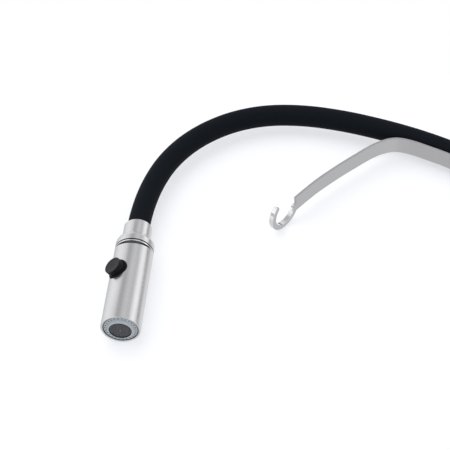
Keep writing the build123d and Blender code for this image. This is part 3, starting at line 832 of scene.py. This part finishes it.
def build_supply_tails():
    for side, x in (("cold", -7.4), ("hot", 7.4)):
        centre = vec(x, 0, 0)
        lathe(f"supply_tail_{side}", [
            (3.6, -206.0), (5.8, -206.0, 0.4), (5.8, -12.1, 0.4), (3.6, -12.1)],
            (centre, DIR_Z, DIR_X), braid(f"braid_{side}", centre), "mixer", "tail_hoses",
            segments=64)


# ------------------------------------------------------------------ CAD pieces kept as they are
# material, width of the softened edges (0 for none), names of the CAD nodes
KEPT_PIECES = [
    (GREY, 0.0, ["nozzle_plate"]),
    (OUTLET, 0.0, ["aerator_housing"]),
    (OUTLET_MESH, 0.0, ["aerator_mesh"]),
    # the neck adaptor's dark grey is partly painted shade in the recess under the thin ring
    (NECK_RECESS_SHADE, 0.0, ["neck_adaptor"]),
    # the head core is painted black here, though its own colour is white: painted shade for the
    # hollow seen through the outlet mesh
    (BLACK, 0.0, ["head_core", "check_valve_cage"]),
    (SEAL, 0.0, ["face_seal", "swivel_o_ring"]),
    (SEAL, 0.4, ["rubber_washer"]),
    (ZINC, 0.0, ["button_spring", "clamp_screws", "yoke_pin"]),
    (ZINC, 0.3, ["steel_washer"]),
    (BRASS, 0.0, ["diverter_plunger", "hose_nipple", "root_connector"]),
    (BRASS, 0.3, ["cartridge_nut"]),
    (BRASS, 0.5, ["shank_nut"]),
    (STRIP, 0.6, ["arm_clamp"]),
    (COPPER, 0.0, ["riser_tube"]),
    (PLATED, 0.0, ["tail_stubs", "lever_stem"]),
    (PLATED, 0.4, ["tail_unions"]),
    (WHITE, 0.0, ["cartridge_housing", "disc_carrier", "cartridge_yoke"]),
    (CERAMIC, 0.0, ["ceramic_disc_fixed", "ceramic_disc_moving"]),
]


def dress(node, material, bevel_width):
    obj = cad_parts[node]
    obj.data.materials.clear()
    obj.data.materials.append(material)
    for polygon in obj.data.polygons:
        polygon.material_index = 0
    if bevel_width:
        bevel = obj.modifiers.new("edges", "BEVEL")
        bevel.width = bevel_width * MM
        bevel.segments = 2
        bevel.limit_method = "ANGLE"
        bevel.angle_limit = math.radians(35)
        bevel.harden_normals = False


# ------------------------------------------------------------------ camera and stage
CAMERA_POS = vec(894.5, 978.41, -213.6)
HEADING = math.radians(140)
TILT = math.radians(47.4825)  # how far the view points below the horizontal
TABLE_Y = -17.15
# (to the camera's right, away from it), from the point of the table below the camera
TABLE_OUTLINE = [
    (-480.8108, 1114.5726), (411.4154, 1114.5726), (313.1405, 988.9138),
    (231.2846, 975.8320), (173.7636, 463.1005), (-338.4553, 463.1005)]
FLOOR_Z, FLOOR_HALF = -226.2, 2500


def view_vec(right, away, above):
    """A vector given to the camera's right, away from it over the table, and along +Y."""
    c, s = math.cos(HEADING), math.sin(HEADING)
    return vec(away * c - right * s, above, right * c + away * s)


def build_camera():
    data = bpy.data.cameras.new("camera")
    camera = bpy.data.objects.new("camera", data)
    bpy.context.scene.collection.objects.link(camera)
    data.sensor_width = 36.0
    data.lens = 120.0
    data.clip_start, data.clip_end = 0.05, 20.0
    right = view_vec(1, 0, 0)
    up = view_vec(0, math.sin(TILT), math.cos(TILT))
    back = view_vec(0, -math.cos(TILT), math.sin(TILT))
    rows = [tuple(row) for row in np.column_stack((right, up, back, CAMERA_POS * MM))]
    camera.matrix_world = Matrix((*rows, (0, 0, 0, 1)))
    bpy.context.scene.camera = camera


def build_stage():
    """White table facing +Y and pale floor facing +Z, each seen from its front only."""
    white = Material("table_white")
    white.surface((0.93, 0.94, 0.97), roughness=0.6, specular=0.1)
    glow = white.light("ShaderNodeEmission", (0.96, 0.975, 1.0))
    # glow makes up 0.62 of the table's look
    white.show_front_only(white.mix_shader(0.62, white.bsdf.outputs[0], glow))
    drop = TABLE_Y - CAMERA_POS[1]
    corners = [CAMERA_POS + view_vec(right, away, drop) for right, away in TABLE_OUTLINE]
    table = mesh_object("table", corners, [list(range(len(corners)))], white.mat,
                        smooth=False)
    table.data.flip_normals()  # the outline runs clockwise seen from +Y
    table.visible_glossy = False

    pale = Material("floor_pale")
    pale.surface((0.86, 0.86, 0.87), roughness=0.7)
    pale.show_front_only(pale.bsdf.outputs[0])
    signs = ((-1, -1), (1, -1), (1, 1), (-1, 1))
    corners = [vec(x * FLOOR_HALF, y * FLOOR_HALF, FLOOR_Z) for x, y in signs]
    floor = mesh_object("floor", corners, [[0, 1, 2, 3]], pale.mat, smooth=False)
    floor.visible_glossy = False


# ------------------------------------------------------------------ light
# reflected surroundings: (degrees round the head's axis, from +Y towards HEAD_X; brightness)
BANDS = [
    (-180, 0.70), (-150.7, 0.78), (-122, 0.76), (-101.6, 0.36), (-84.5, 0.92),
    (-69.1, 1.12), (-54.9, 0.92), (-41.3, 0.50), (-28.3, 0.58), (-15.5, 0.68),
    (-2.7, 0.58), (10.1, 0.42), (23.1, 0.40), (36.7, 0.72), (50.9, 0.82), (66.3, 0.90),
    (83.4, 0.92), (103.8, 0.82), (132.5, 0.60), (180, 0.70)]


def build_world():
    """White to the camera, banded in reflections, even and faintly blue otherwise."""
    world = bpy.data.worlds.new("studio")
    bpy.context.scene.world = world
    world.use_nodes = True
    graph = Graph(world.node_tree)
    graph.tree.nodes.clear()
    out = graph.new("ShaderNodeOutputWorld")
    path = graph.new("ShaderNodeLightPath").outputs
    direction = graph.new("ShaderNodeTexCoord").outputs["Generated"]
    angle = graph.math("ARCTAN2", graph.dot(direction, HEAD_X), graph.dot(direction, DIR_Y))
    ramp = graph.new("ShaderNodeValToRGB")
    ramp.color_ramp.interpolation = "EASE"
    stops = ramp.color_ramp.elements
    while len(stops) > 1:
        stops.remove(stops[-1])
    for i, (degrees, level) in enumerate(BANDS):
        position = (degrees + 180) / 360
        stop = stops[0] if i == 0 else stops.new(position)
        stop.position = position
        stop.color = (level, level, level * 1.01, 1)
    graph.put(ramp.inputs[0], graph.remap(angle, span=(-math.pi, math.pi)))
    seen = graph.light("ShaderNodeBackground", (1, 1, 1))
    reflected = graph.light("ShaderNodeBackground", ramp.outputs[0], strength=1.12)
    ambient = graph.light("ShaderNodeBackground", (0.95, 0.97, 1.0), strength=0.80)
    unseen = graph.mix_shader(path["Is Glossy Ray"], ambient, reflected)
    shown = graph.mix_shader(path["Is Camera Ray"], unseen, seen)
    graph.put(out.inputs["Surface"], shown)


def area_light(name, direction, distance, size, energy):
    """Disc light aimed at the tap; distance and size in metres, energy in watts."""
    data = bpy.data.lights.new(name, "AREA")
    data.shape = "DISK"
    data.size = size
    data.energy = energy
    light = bpy.data.objects.new(name, data)
    bpy.context.scene.collection.objects.link(light)
    direction = Vector(direction).normalized()
    light.location = Vector((0.2, 0.0, 0.38)) + direction * distance
    light.rotation_mode = "QUATERNION"
    light.rotation_quaternion = direction.to_track_quat("Z", "Y")
    light.visible_glossy = False
    light.visible_camera = False


# ------------------------------------------------------------------ build
build_hose()
build_head_tube()
build_neck()
build_button()
build_arm()
build_hook()
build_column()
build_body()
build_dome()
build_lever()
build_base()
build_shank()
build_supply_tails()
for material, bevel_width, names in KEPT_PIECES:
    for name in names:
        dress(name, material, bevel_width)
build_camera()
build_stage()
build_world()
area_light("key", view_vec(-0.45, 0.45, 1.0), distance=1.6, size=2.2, energy=22.0)
area_light("fill_low", view_vec(0.2, -0.8, 0.6), distance=1.8, size=1.4, energy=6.0)
area_light("fill_back", (0.1, -1.0, 0.5), distance=1.8, size=1.4, energy=10.0)

view = bpy.context.scene.view_settings
view.view_transform = "Standard"
view.look = "None"
view.exposure = 0.0
view.gamma = 1.0
